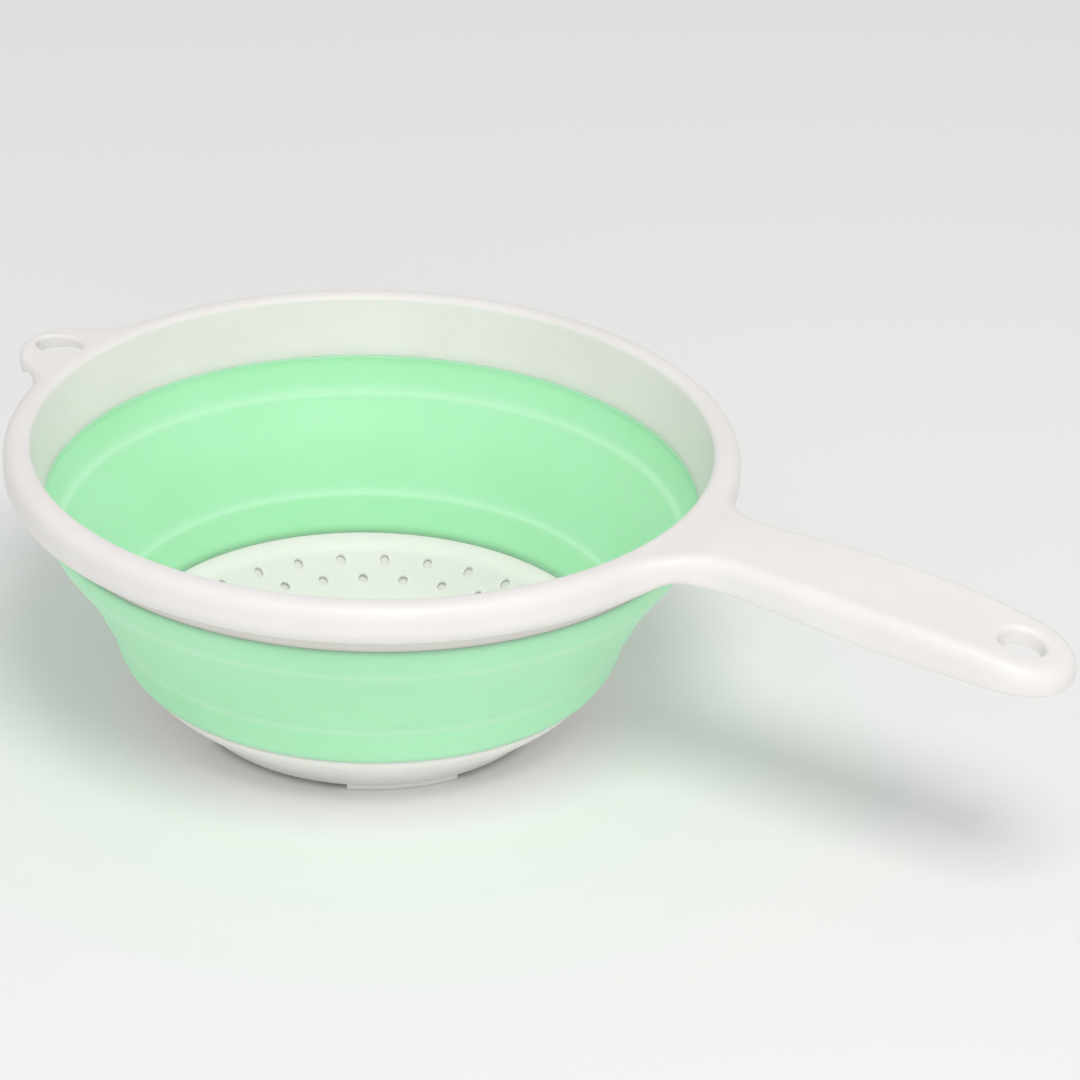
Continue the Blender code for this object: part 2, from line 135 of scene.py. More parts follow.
def quads(grid):
    """Corner lists of the faces of a grid of vertex numbers."""
    corners = (grid[:-1, :-1], grid[1:, :-1], grid[1:, 1:], grid[:-1, 1:])
    return np.stack([part.ravel() for part in corners], axis=-1).tolist()


def add_object(name, data, material=None):
    if material:
        data.materials.append(material)
    item = bpy.data.objects.new(name, data)
    bpy.context.scene.collection.objects.link(item)
    return item


def round_edges(item, width, segments, degrees):
    """Rounds the edges of a piece at which its faces turn by more than an angle."""
    bevel = item.modifiers.new("edges", "BEVEL")
    bevel.width = width
    bevel.segments = segments
    bevel.limit_method = "ANGLE"
    bevel.angle_limit = math.radians(degrees)


def piece(name, points, faces, material, body, slot, *nodes):
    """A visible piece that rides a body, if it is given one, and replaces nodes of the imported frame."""
    mesh = bpy.data.meshes.new(name)
    mesh.from_pydata([tuple(point) for point in points], [], faces)
    mesh.validate()
    mesh.shade_smooth()
    item = add_object(name, mesh, material)
    if body:
        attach(item, body)
    if nodes:
        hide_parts(*nodes)
    return item


# ---------------------------------------------------------------- outline of the frame
def fillet_to_rim(radius, point_radius, point_s):
    """Centre of a fillet that touches the rim's circle and a line or a circle on the arm."""
    span = RIM_RADIUS + radius
    if point_s is None:
        return math.sqrt(span ** 2 - point_radius ** 2), point_radius
    s = (span ** 2 - point_radius ** 2 + point_s ** 2) / (2 * point_s)
    return s, math.sqrt(span ** 2 - s ** 2)


def handle_half_width(s):
    """Half the handle's width at a distance from the bowl's axis, with the fillet at its root."""
    flare_end, _ = fillet_to_rim(HANDLE_FILLET, HANDLE_HALF_WIDTH[0][1] + HANDLE_FILLET, None)
    flare = HANDLE_FILLET - np.sqrt(HANDLE_FILLET ** 2 - np.clip(flare_end - s, 0.0, HANDLE_FILLET) ** 2)
    tip = np.clip((s - HANDLE_END + HANDLE_TIP_LENGTH) / HANDLE_TIP_LENGTH, 0.0, 1.0)
    rounding = (1.0 - tip ** HANDLE_TIP_POWER) ** (1.0 / HANDLE_TIP_POWER)
    return through(HANDLE_HALF_WIDTH, s) * rounding + flare


def ear_half_width(s):
    """Half the ear's width: a round lobe with a fillet to the rim on either side."""
    fillet_s, fillet_u = fillet_to_rim(EAR_FILLET, EAR_RADIUS + EAR_FILLET, EAR_CENTRE)
    join = EAR_CENTRE + (fillet_s - EAR_CENTRE) * EAR_RADIUS / (EAR_RADIUS + EAR_FILLET)
    flare = fillet_u - np.sqrt(np.clip(EAR_FILLET ** 2 - (s - fillet_s) ** 2, 0.0, None))
    lobe = np.sqrt(np.clip(EAR_RADIUS ** 2 - (s - EAR_CENTRE) ** 2, 0.0, None))
    return np.where(s < join, flare, lobe)


def arm_outline(half_width, fillet, fillet_s, end, rows, columns):
    """An arm's outline in plan: up one side from the rim's circle, across the tip and back down the other.

    The points are evenly spaced, with as many on each side as the arm's grid has rows.
    """
    root = fillet_s * RIM_RADIUS / (RIM_RADIUS + fillet)
    s = end - (end - root) * np.linspace(1.0, 0.0, OUTLINE_SAMPLES) ** 2
    side = np.stack([s, -half_width(s)], axis=-1)
    side[0, 1], side[-1, 1] = -math.sqrt(RIM_RADIUS ** 2 - root ** 2), 0.0
    line = np.vstack([side, side[-2::-1] * (1.0, -1.0)])
    length = np.concatenate([[0.0], np.cumsum(np.linalg.norm(np.diff(line, axis=0), axis=1))])
    stops = np.linspace(0.0, length[-1], 2 * rows + columns + 1)
    return np.stack([np.interp(stops, length, line[:, axis]) for axis in (0, 1)], axis=-1)


def patch(left, right, near, far):
    """Plan positions of a grid between four lines: its sides, its first row and its last."""
    v = np.linspace(0.0, 1.0, len(left))[:, None, None]
    u = np.linspace(0.0, 1.0, len(near))[None, :, None]
    across = (1 - u) * left[:, None] + u * right[:, None]
    along = (1 - v) * near[None] + v * far[None]
    corners = (1 - u) * ((1 - v) * near[0] + v * far[0]) + u * ((1 - v) * near[-1] + v * far[-1])
    return across + along - corners


# ---------------------------------------------------------------- heights of the frame over its plan
def by_arm(plan, rim_value, handle_value, ear_value):
    """A value that passes from the rim's to the handle's or the ear's own along each root."""
    x = plan[..., 0]
    value = rim_value + (handle_value - rim_value) * smooth_step(*HANDLE_BLEND, x)
    return value + (ear_value - rim_value) * smooth_step(*EAR_BLEND, -x)


def top_height(plan):
    x = plan[..., 0]
    handle = (through(HANDLE_TOP, x) - RIM_CREST) * smooth_step(*HANDLE_TOP_BLEND, x)
    ear = (EAR_TOP - RIM_CREST) * smooth_step(*EAR_BLEND, -x)
    return RIM_CREST + handle + ear


def lower_edge(plan):
    x = plan[..., 0]
    handle = (through(HANDLE_EDGE, x) - RIM_LOWER_EDGE) * smooth_step(*HANDLE_EDGE_BLEND, x)
    ear_s, ear_z = np.array(EAR_EDGE).T
    return np.where(x > 0.0, RIM_LOWER_EDGE + handle, np.interp(-x, ear_s, ear_z))


# ---------------------------------------------------------------- skins built row by row
class Skin:
    """Points and faces of a piece's skin, gathered part by part."""

    def __init__(self):
        self.points = []
        self.faces = []
        self.count = 0

    def add(self, plan, height):
        """Adds points at plan positions and heights, and returns their vertex numbers."""
        first = self.count
        plan = plan.reshape(-1, 2)
        self.points.append(np.column_stack([plan, np.broadcast_to(height, len(plan))]))
        self.count += len(plan)
        return first + np.arange(len(plan))

    def strip(self, above, plan, height):
        """Adds a closed line of points and joins it to the line before with a row of faces."""
        below = self.add(plan, height)
        self.close(above, below)
        return below

    def close(self, above, below):
        """Joins two closed lines that are there already with a row of faces."""
        grid = np.stack([above, below])
        self.faces += quads(np.hstack([grid, grid[:, :1]]))


def edge_of(block):
    """Vertex numbers round a block of a grid."""
    return np.concatenate([block[:-1, 0], block[-1, :-1], block[:0:-1, -1], block[0, :0:-1]])


def edge_places(block):
    """Plan positions round a block of a grid, in the order of edge_of turned back."""
    return np.stack([edge_of(block[..., axis]) for axis in (0, 1)], axis=-1)[::-1]


# ---------------------------------------------------------------- frame
# an arm is the handle or the ear: its outline in plan, its grid's rows and columns, its hole, its side in x
Arm = namedtuple("Arm", "line grid hole sign")


def hanging_hole(skin, ids, plan, hole, sign):
    """Leaves a block of an arm's grid open and fills it with rings down to the hole's lip and its wall."""
    centre, half_length, half_width, lip, depth, slant = hole
    near = np.abs(plan[..., 0] * sign - centre) < half_length + lip
    near &= np.abs(plan[..., 1]) < half_width + lip
    rows, columns = (slice(found.min() - 1, found.max() + 2) for found in np.nonzero(near))
    keep = np.ones((len(ids) - 1, len(ids[0]) - 1), bool)
    keep[rows.start:rows.stop - 1, columns.start:columns.stop - 1] = False
    skin.faces += np.array(quads(ids))[keep.ravel()].tolist()

    above = edge_of(ids[rows, columns])[::-1]
    edge = edge_places(plan[rows, columns])
    middle = np.array([sign * centre, 0.0])
    sizes = np.array([half_length, half_width])
    away = (edge - middle) / sizes
    ring = away / np.linalg.norm(away, axis=1)[:, None]
    wall = middle + ring * sizes
    mouth = wall + ring * lip
    for share in HOLE_RINGS:
        place = edge + (mouth - edge) * share
        above = skin.strip(above, place, top_height(place))
    surface = top_height(mouth)
    for angle in np.linspace(0.0, math.pi / 2, HOLE_LIP_STEPS + 1)[1:]:
        place = wall + ring * lip * (1.0 - math.sin(angle))
        above = skin.strip(above, place, surface - lip * (1.0 - math.cos(angle)))
    depth += slant * sign * ring[:, 0]
    for share in np.linspace(0.0, 1.0, HOLE_WALL_STEPS + 1)[1:]:
        above = skin.strip(above, wall, surface - lip - (depth - lip) * share)


def frame_lines(arms):
    """The frame's outline in plan, as lines in turn: an arm, and then the side of the rim that follows it."""
    lines = []
    for arm, following in zip(arms, arms[::-1]):
        start, end = (math.atan2(point[1], point[0]) for point in (arm.line[-1], following.line[0]))
        angles = np.linspace(start, end % (2 * math.pi) if end < start else end, SIDE_COLUMNS + 1)[1:-1]
        lines += [arm.line, RIM_RADIUS * np.stack([np.cos(angles), np.sin(angles)], axis=-1)]
    return lines


def outer_lip(skin, outline):
    """The rolled shoulder and the side of the lip. Returns the vertices and plan positions of the crest."""
    along = np.roll(outline, -1, axis=0) - np.roll(outline, 1, axis=0)
    inward = np.stack([-along[:, 1], along[:, 0]], axis=-1) / np.linalg.norm(along, axis=1)[:, None]
    width = by_arm(outline, ROLL_WIDTH, HANDLE_SHOULDER, EAR_SHOULDER_WIDTH)[:, None]
    height = by_arm(outline, ROLL_HEIGHT, HANDLE_SHOULDER, EAR_SHOULDER_HEIGHT)
    crest_plan = outline + inward * width
    crest = above = skin.add(crest_plan, top_height(crest_plan))
    for angle in np.linspace(math.pi / 2, 0.0, SHOULDER_STEPS + 1)[1:]:
        inset, sunk = (1.0 - turn(angle) ** (2 / SHOULDER_POWER) for turn in (math.cos, math.sin))
        place = outline + inward * width * inset
        above = skin.strip(above, place, top_height(place) - height * sunk)

    top = top_height(outline) - height
    tuck = by_arm(outline, RIM_TUCK, HANDLE_TUCK, HANDLE_TUCK)
    for share in np.linspace(0.0, 1.0, LIP_WALL_STEPS + 1)[1:]:
        turn = quarter_round(1.0 - share, 1.0 - TUCK_START, 1.0)
        place = outline + inward * (tuck * turn)[:, None]
        above = skin.strip(above, place, top + share * (lower_edge(outline) - top))
    return crest, crest_plan


def arm_top(skin, arm, crest, crest_plan, first, last):
    """An arm's top, open at its hole. Returns the vertices and plan positions of its row along the rim."""
    rows, columns = arm.grid
    left, right = np.arange(first, first + rows + 1), np.arange(last, last - rows - 1, -1)
    far = np.arange(first + rows, last - rows + 1)
    start, end = (math.atan2(arm.sign * point[1], arm.sign * point[0]) for point in crest_plan[[first, last]])
    angles = np.linspace(start, end, columns + 1)
    near = arm.sign * np.linalg.norm(crest_plan[first]) * np.stack([np.cos(angles), np.sin(angles)], axis=-1)
    plan = patch(crest_plan[left], crest_plan[right], near, crest_plan[far])
    ids = np.zeros((rows + 1, columns + 1), int)
    ids[:, 0], ids[:, -1], ids[-1] = crest[left], crest[right], crest[far]
    inside = plan[:-1, 1:-1]
    ids[:-1, 1:-1] = skin.add(inside, top_height(inside).ravel()).reshape(rows, columns - 1)
    hanging_hole(skin, ids, plan, arm.hole, arm.sign)
    return ids[0], near


def inner_band(skin, above, circle):
    """Rolls over the rim's inner edge and goes down the band, from a ring of vertices near the circle."""
    circle = circle / np.linalg.norm(circle, axis=1)[:, None]
    for angle in np.linspace(math.pi / 2, 0.0, INNER_ROLL_STEPS + 1)[1:]:
        place = circle * (BORE_RADIUS + INNER_ROLL_WIDTH * (1.0 - math.cos(angle)))
        above = skin.strip(above, place, top_height(place) - INNER_ROLL_HEIGHT * (1.0 - math.sin(angle)))
    start = top_height(circle * BORE_RADIUS) - INNER_ROLL_HEIGHT
    for share in np.linspace(0.0, 1.0, BAND_STEPS + 1)[1:]:
        place = circle * (BORE_RADIUS - BAND_DRAFT * share)
        above = skin.strip(above, place, start + share * (BAND_BOTTOM - start))


def build_frame(material):
    """Rim, band, handle and ear as one skin, made from the crest outwards and inwards, and then thickened."""
    handle_fillet, _ = fillet_to_rim(HANDLE_FILLET, HANDLE_HALF_WIDTH[0][1] + HANDLE_FILLET, None)
    ear_fillet, _ = fillet_to_rim(EAR_FILLET, EAR_RADIUS + EAR_FILLET, EAR_CENTRE)
    handle_line = arm_outline(handle_half_width, HANDLE_FILLET, handle_fillet, HANDLE_END, *HANDLE_GRID)
    ear_line = -arm_outline(ear_half_width, EAR_FILLET, ear_fillet, EAR_END, *EAR_GRID)
    arms = (Arm(handle_line, HANDLE_GRID, HANDLE_HOLE, 1), Arm(ear_line, EAR_GRID, EAR_HOLE, -1))
    lines = frame_lines(arms)
    skin = Skin()
    crest, crest_plan = outer_lip(skin, np.vstack(lines))

    firsts = np.cumsum([0, *(len(line) for line in lines)])
    ring, ring_plan = [], []
    for index, arm in enumerate(arms):
        first, last, after = firsts[2 * index], firsts[2 * index + 1] - 1, firsts[2 * index + 2]
        row, row_plan = arm_top(skin, arm, crest, crest_plan, first, last)
        ring += [*row, *crest[last + 1:after]]
        ring_plan += [*row_plan, *crest_plan[last + 1:after]]
    inner_band(skin, np.array(ring)[::-1], np.array(ring_plan)[::-1])

    points = np.concatenate(skin.points) + (0.0, 0.0, RIM_PLANE)
    item = piece("frame_moulding", points, skin.faces, material, "frame", "white_plastic", "frame")
    shell = item.modifiers.new("shell", "SOLIDIFY")
    shell.thickness = SHELL
    shell.offset = -1.0
    round_edges(item, FRAME_EDGE_ROUND, 2, 60)


# ---------------------------------------------------------------- turned pieces
def rounded(points, radii, steps=6):
    """A line through points whose corners are replaced by arcs that start a radius away from the corner."""
    points = [np.array(point, float) for point in points]
    line = [points[0]]
    for before, corner, after, radius in zip(points, points[1:], points[2:], radii[1:-1]):
        if radius == 0.0:
            line.append(corner)
            continue
        start = corner + (before - corner) * min(0.49, radius / np.linalg.norm(before - corner))
        end = corner + (after - corner) * min(0.49, radius / np.linalg.norm(after - corner))
        for share in np.linspace(0.0, 1.0, steps + 1):
            line.append((1 - share) ** 2 * start + 2 * share * (1 - share) * corner + share ** 2 * end)
    line.append(points[-1])
    return np.array(line)


def turned(outline, segments):
    """Points and faces of a closed outline of (radius, height), turned about the bowl's axis."""
    angles = np.linspace(0.0, 2 * math.pi, segments, endpoint=False)
    radius, height = outline.T
    x = radius[:, None] * np.cos(angles)
    y = radius[:, None] * np.sin(angles)
    points = np.stack([x, y, np.broadcast_to(height[:, None], x.shape)], axis=-1)
    grid = np.arange(points.size // 3).reshape(points.shape[:2])
    grid = np.vstack([grid, grid[:1]])
    grid = np.hstack([grid, grid[:, :1]])
    return points.reshape(-1, 3), quads(grid)


# radius, drop from the rim plane and rounding at each corner; the wall steps in a little at each crease
WALL_OUTSIDE = ((0.1048, 0.01846, 0.0), (0.1044, 0.0222, 0.004), (0.1010, 0.0284, 0.0010),
                (0.1005, 0.0297, 0.0008), (0.0993, 0.0311, 0.0012), (0.0918, 0.0415, 0.0012),
                (0.0891, 0.0460, 0.003), (0.0854, 0.0540, 0.004), (0.0833, 0.0566, 0.0010),
                (0.0831, 0.0581, 0.0008), (0.0822, 0.0594, 0.0012), (0.0810, 0.0645, 0.003),
                (0.0798, 0.0684, 0.002), (0.0779, 0.07136, 0.0))
WALL_INSIDE = ((0.1023, 0.01846, 0.0), (0.1024, 0.0205, 0.001), (0.1012, 0.0240, 0.004),
               (0.0987, 0.0291, 0.0012), (0.0971, 0.0299, 0.0010), (0.0963, 0.0316, 0.0012),
               (0.0884, 0.0424, 0.006), (0.0842, 0.0510, 0.006), (0.0812, 0.0580, 0.0010),
               (0.0799, 0.0586, 0.0009), (0.0795, 0.0602, 0.0010), (0.0782, 0.0650, 0.003),
               (0.0764, 0.07136, 0.0))
WALL_COLUMNS = 240
# drops of the fold lines, and the width of the painted highlight that pales the rubber along them
CREASE_DROPS, CREASE_HIGHLIGHT_WIDTH = (0.0296, 0.0584), 0.0024


def build_wall(material):
    """The whole folding wall as one skin, from the base at its foot to the frame at its top."""
    sides = []
    for corners in (WALL_OUTSIDE, WALL_INSIDE):
        radius, drop, rounding = np.array(corners).T
        sides.append(rounded(np.stack([radius, RIM_PLANE - drop], axis=-1), rounding))
    outline = np.vstack([sides[0], sides[1][::-1]])
    points, faces = turned(outline, WALL_COLUMNS)
    item = piece("folding_wall", points, faces, material, None, "mint_rubber",
                 "wall_top_band", "wall_upper_band", "wall_middle_band", "wall_lower_band",
                 "fold_ring_upper", "fold_ring_middle", "fold_ring_lower")
    # closeness to a fold line, which drives the painted highlight
    away = np.abs(RIM_PLANE - points[:, 2, None] - np.array(CREASE_DROPS)).min(axis=1)
    crease = item.data.attributes.new("crease", "FLOAT", "POINT")
    crease.data.foreach_set("value", np.clip(1.0 - away / CREASE_HIGHLIGHT_WIDTH, 0.0, 1.0))
    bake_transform(item)


# radius, height and rounding at each corner of the base: a thin dish, and a skirt that hangs from its rim
SEAT = RIM_PLANE - 0.0714
DISH_TOP = ((0.0, 0.0072, 0.0), (0.0560, 0.0072, 0.006), (0.0636, 0.0116, 0.006), (0.0693, 0.0160, 0.006),
            (0.0765, SEAT, 0.0))
DISH_UNDER = ((0.0, 0.0052, 0.0), (0.0540, 0.0052, 0.003), (0.0600, 0.0077, 0.003), (0.0636, 0.0105, 0.003),
              (0.0693, 0.0149, 0.003), (0.0720, 0.0172, 0.0))
SKIRT = ((0.0778, SEAT, 0.0), (0.0714, 0.0150, 0.004), (0.0686, 0.0126, 0.0004), (0.0679, 0.0120, 0.0003),
         (0.0653, 0.0100, 0.003), (0.0620, 0.0073, 0.003), (0.0587, 0.0044, 0.003), (0.0560, 0.0015, 0.0005),
         (0.0544, 0.0015, 0.0005), (0.0566, 0.0036, 0.003), (0.0600, 0.0070, 0.003), (0.0636, 0.0098, 0.003),
         (0.0693, 0.0142, 0.003), (0.0720, 0.0165, 0.0))
FOOT_COUNT, FOOT_ARC, FOOT_MIDDLE = 4, math.radians(37.0), math.radians(-45.9)
FOOT_SECTION = ((0.0541, 0.0), (0.0564, 0.0), (0.0562, 0.0026), (0.0539, 0.0026))     # radius, height
FOOT_STEPS, FOOT_EDGE_ROUND = 24, 0.0006
DRAIN_RADIUS, DRAIN_PHASE = 0.0015, math.radians(4.5)
# radius, number of holes and shift in hole pitches of each ring of drain holes
DRAIN_RINGS = ((0.0693, 30, 0.5), (0.0636, 30, 0.0), (0.0520, 24, 0.5), (0.0410, 20, 0.0),
               (0.0300, 12, 0.5), (0.0190, 8, 0.0), (0.0080, 4, 0.5))
DRAIN_LIP, DRAIN_LIP_STEPS = 0.00025, 3
DRAIN_MARGIN = 0.0004          # least room between a hole's lip and the block that is opened for it
BASE_COLUMNS = 240
BASE_ROW = 0.0009              # spacing of the grid's rows along the radius
BASE_ROW_GAP = 0.0002          # least step from the grid's last row to the next corner of the dish


def side_line(corners):
    """A rounded line through (radius, height, rounding) corners."""
    radius, height, rounding = np.array(corners).T
    return rounded(np.stack([radius, height], axis=-1), rounding)


def drain_hole(skin, top, bottom, plan, rows, columns, middle, heights):
    """Fills a block that is open in both faces of the base with the walls of a round hole.

    The two lines in heights are (radii, heights) of the dish's upper and lower face.
    """
    edge = edge_places(plan[rows, columns])
    ring = (edge - middle) / np.linalg.norm(edge - middle, axis=1)[:, None]
    mouth = middle + ring * (DRAIN_RADIUS + DRAIN_LIP)
    above = edge_of(top[rows, columns])[::-1]
    for place in ((edge + mouth) / 2, mouth):
        above = skin.strip(above, place, np.interp(np.hypot(*place.T), *heights[0]))
    upper, lower = (np.interp(np.hypot(*mouth.T), *line) for line in heights)
    turns = np.linspace(0.0, math.pi / 2, DRAIN_LIP_STEPS + 1)[1:]
    lips = [(angle, upper, -1.0) for angle in turns] + [(angle, lower, 1.0) for angle in turns[::-1]]
    for angle, face, side in lips:
        place = middle + ring * (DRAIN_RADIUS + DRAIN_LIP * (1.0 - math.sin(angle)))
        above = skin.strip(above, place, face + side * DRAIN_LIP * (1.0 - math.cos(angle)))
    above = skin.strip(above, mouth, lower)
    skin.close(above, edge_of(bottom[rows, columns])[::-1])


def build_base(material):
    """The dish as two faces of one grid, opened for the drain holes, and the skirt that joins their rims."""
    inner, under, skirt = side_line(DISH_TOP), side_line(DISH_UNDER), side_line(SKIRT)
    angles = DRAIN_PHASE + np.arange(BASE_COLUMNS) * 2 * math.pi / BASE_COLUMNS
    circle = np.stack([np.cos(angles), np.sin(angles)], axis=-1)
    radii = BASE_ROW * np.arange(1, round(under[-1, 0] / BASE_ROW) + 1)
    plan = radii[:, None, None] * circle
    skin = Skin()
    top, bottom = (skin.add(plan, np.repeat(np.interp(radii, *line.T), BASE_COLUMNS)).reshape(plan.shape[:2])
                   for line in (inner, under))
    keep = np.ones((len(radii) - 1, BASE_COLUMNS), bool)
    holes = []
    for radius, count, shift in DRAIN_RINGS:
        reach = DRAIN_RADIUS + DRAIN_LIP + DRAIN_MARGIN
        half = math.ceil(reach / (radius * 2 * math.pi / BASE_COLUMNS))
        rows = slice(int((radius - reach) / BASE_ROW) - 1, int((radius + reach) / BASE_ROW) + 1)
        for index in range(count):
            column = round((index + shift) * BASE_COLUMNS / count)
            columns = np.arange(column - half, column + half + 1) % BASE_COLUMNS
            keep[rows.start:rows.stop - 1, columns[:-1]] = False
            holes.append((rows, columns, radius * circle[column % BASE_COLUMNS]))
    wrap = np.append(np.arange(BASE_COLUMNS), 0)
    skin.faces += np.array(quads(top[:, wrap]))[keep.ravel()].tolist()
    skin.faces += np.array(quads(bottom[:, wrap]))[keep.ravel()][:, ::-1].tolist()
    for rows, columns, middle in holes:
        drain_hole(skin, top, bottom, plan, rows, columns, middle, (inner.T, under.T))
    skin.faces.append(top[0].tolist())
    skin.faces.append(bottom[0][::-1].tolist())
    above = top[-1]
    rest = inner[inner[:, 0] > radii[-1] + BASE_ROW_GAP]
    for radius, height in (*rest, *skirt):
        above = skin.strip(above, circle * radius, height)
    skin.close(above, bottom[-1])
    points = np.concatenate(skin.points)
    piece("perforated_base", points, skin.faces, material, "base", "white_plastic", "base")


def build_feet(material):
    """Four low feet under the lower edge of the base's skirt."""
    radius, height = np.array(FOOT_SECTION).T
    skin = Skin()
    for index in range(FOOT_COUNT):
        start = FOOT_MIDDLE + index * 2 * math.pi / FOOT_COUNT - FOOT_ARC / 2
        angles = np.linspace(start, start + FOOT_ARC, FOOT_STEPS + 1)
        sections = [radius[:, None] * (math.cos(angle), math.sin(angle)) for angle in angles]
        above = skin.add(sections[0], height)
        skin.faces.append(above.tolist())
        for section in sections[1:]:
            above = skin.strip(above, section, height)
        skin.faces.append(above[::-1].tolist())
    points = np.concatenate(skin.points)
    item = piece("base_feet", points, skin.faces, material, "base", "white_plastic")
    round_edges(item, FOOT_EDGE_ROUND, 3, 40)


# ---------------------------------------------------------------- materials
# the paler and the deeper tone of each white moulding, and how much light passes under its surface
FRAME_TONES, FRAME_GLOW = ((0.905, 0.882, 0.864), (0.862, 0.836, 0.818)), 0.22
BASE_TONES, BASE_GLOW = ((0.955, 0.940, 0.900), (0.935, 0.915, 0.870)), 0.40
# the last of these tones is the painted shade on the rim's band under its lip
SPECK_TONE, GATE_TONE, LIP_SHADE_TONE = (0.690, 0.665, 0.640), (0.560, 0.530, 0.510), (0.700, 0.660, 0.620)
MINT_TONES = ((0.450, 0.895, 0.548), (0.480, 0.925, 0.588))
# the bloom's tone, and the tone of the painted highlight along the fold lines
BLOOM_TONE, CREASE_HIGHLIGHT_TONE = (0.560, 0.880, 0.650), (0.640, 0.960, 0.720)


class Shading:
    """A Principled material and short ways to add the nodes that drive it. Patterns are in object metres."""

    def __init__(self, name):
        self.material = bpy.data.materials.new(name)
        self.material.use_nodes = True
        self.tree = self.material.node_tree
        self.shader = self.tree.nodes["Principled BSDF"]
        self.place = self.tree.nodes.new("ShaderNodeTexCoord").outputs["Object"]

    def set(self, **values):
        for name, value in values.items():
            self.shader.inputs[name.replace("_", " ")].default_value = value

    def wire(self, source, target):
        self.tree.links.new(source, target)

    def noise(self, scale, detail=2.0, roughness=0.5, stretch=None):
        node = self.tree.nodes.new("ShaderNodeTexNoise")
        node.inputs["Scale"].default_value = scale
        node.inputs["Detail"].default_value = detail
        node.inputs["Roughness"].default_value = roughness
        place = self.place
        if stretch:
            mapping = self.tree.nodes.new("ShaderNodeMapping")
            mapping.inputs["Scale"].default_value = stretch
            self.wire(place, mapping.inputs["Vector"])
            place = mapping.outputs["Vector"]
        self.wire(place, node.inputs["Vector"])
        return node.outputs["Fac"]

    def cells(self, scale):
        node = self.tree.nodes.new("ShaderNodeTexVoronoi")
        node.inputs["Scale"].default_value = scale
        self.wire(self.place, node.inputs["Vector"])
        return node.outputs["Distance"]

    def spread(self, value, low, high, to_low, to_high):
        node = self.tree.nodes.new("ShaderNodeMapRange")
        limits = {"From Min": low, "From Max": high, "To Min": to_low, "To Max": to_high}
        for name, limit in limits.items():
            node.inputs[name].default_value = limit
        self.wire(value, node.inputs["Value"])
        return node.outputs["Result"]

    def math(self, operation, first, second):
        node = self.tree.nodes.new("ShaderNodeMath")
        node.operation = operation
        for value, socket in ((first, node.inputs[0]), (second, node.inputs[1])):
            if isinstance(value, float):
                socket.default_value = value
            else:
                self.wire(value, socket)
        return node.outputs["Value"]

    def band(self, low, high, inner, outer):
        """One below the low height and outside the outer radius, zero above the high and inside the inner."""
        parts = self.tree.nodes.new("ShaderNodeSeparateXYZ")
        self.wire(self.place, parts.inputs["Vector"])
        flat = self.tree.nodes.new("ShaderNodeVectorMath")
        flat.operation = "MULTIPLY"
        flat.inputs[1].default_value = (1.0, 1.0, 0.0)
        self.wire(self.place, flat.inputs[0])
        radius = self.tree.nodes.new("ShaderNodeVectorMath")
        radius.operation = "LENGTH"
        self.wire(flat.outputs["Vector"], radius.inputs[0])
        return self.math("MULTIPLY", self.spread(parts.outputs["Z"], low, high, 1.0, 0.0),
                         self.spread(radius.outputs["Value"], inner, outer, 0.0, 1.0))

    def near(self, point, radius):
        """One at a point of the object and up to 0.4 of a radius from it, falling to zero a radius away."""
        node = self.tree.nodes.new("ShaderNodeVectorMath")
        node.operation = "DISTANCE"
        node.inputs[1].default_value = point
        self.wire(self.place, node.inputs[0])
        return self.spread(node.outputs["Value"], radius * 0.4, radius, 1.0, 0.0)

    def tint(self, share, first, second):
        """A colour that goes from the first, or what drives it, to the second."""
        node = self.tree.nodes.new("ShaderNodeMix")
        node.data_type = "RGBA"
        self.wire(share, node.inputs["Factor"])
        for value, socket in ((first, node.inputs[6]), (second, node.inputs[7])):
            if isinstance(value, tuple):
                socket.default_value = (*value, 1.0)
            else:
                self.wire(value, socket)
        return node.outputs[2]

    def bump(self, layers):
        """Chains bump nodes; each layer is a height, a distance in metres and a strength."""
        normal = None
        for height, distance, strength in layers:
            node = self.tree.nodes.new("ShaderNodeBump")
            node.inputs["Distance"].default_value = distance
            node.inputs["Strength"].default_value = strength
            self.wire(height, node.inputs["Height"])
            if normal:
                self.wire(normal, node.inputs["Normal"])
            normal = node.outputs["Normal"]
        self.wire(normal, self.shader.inputs["Normal"])


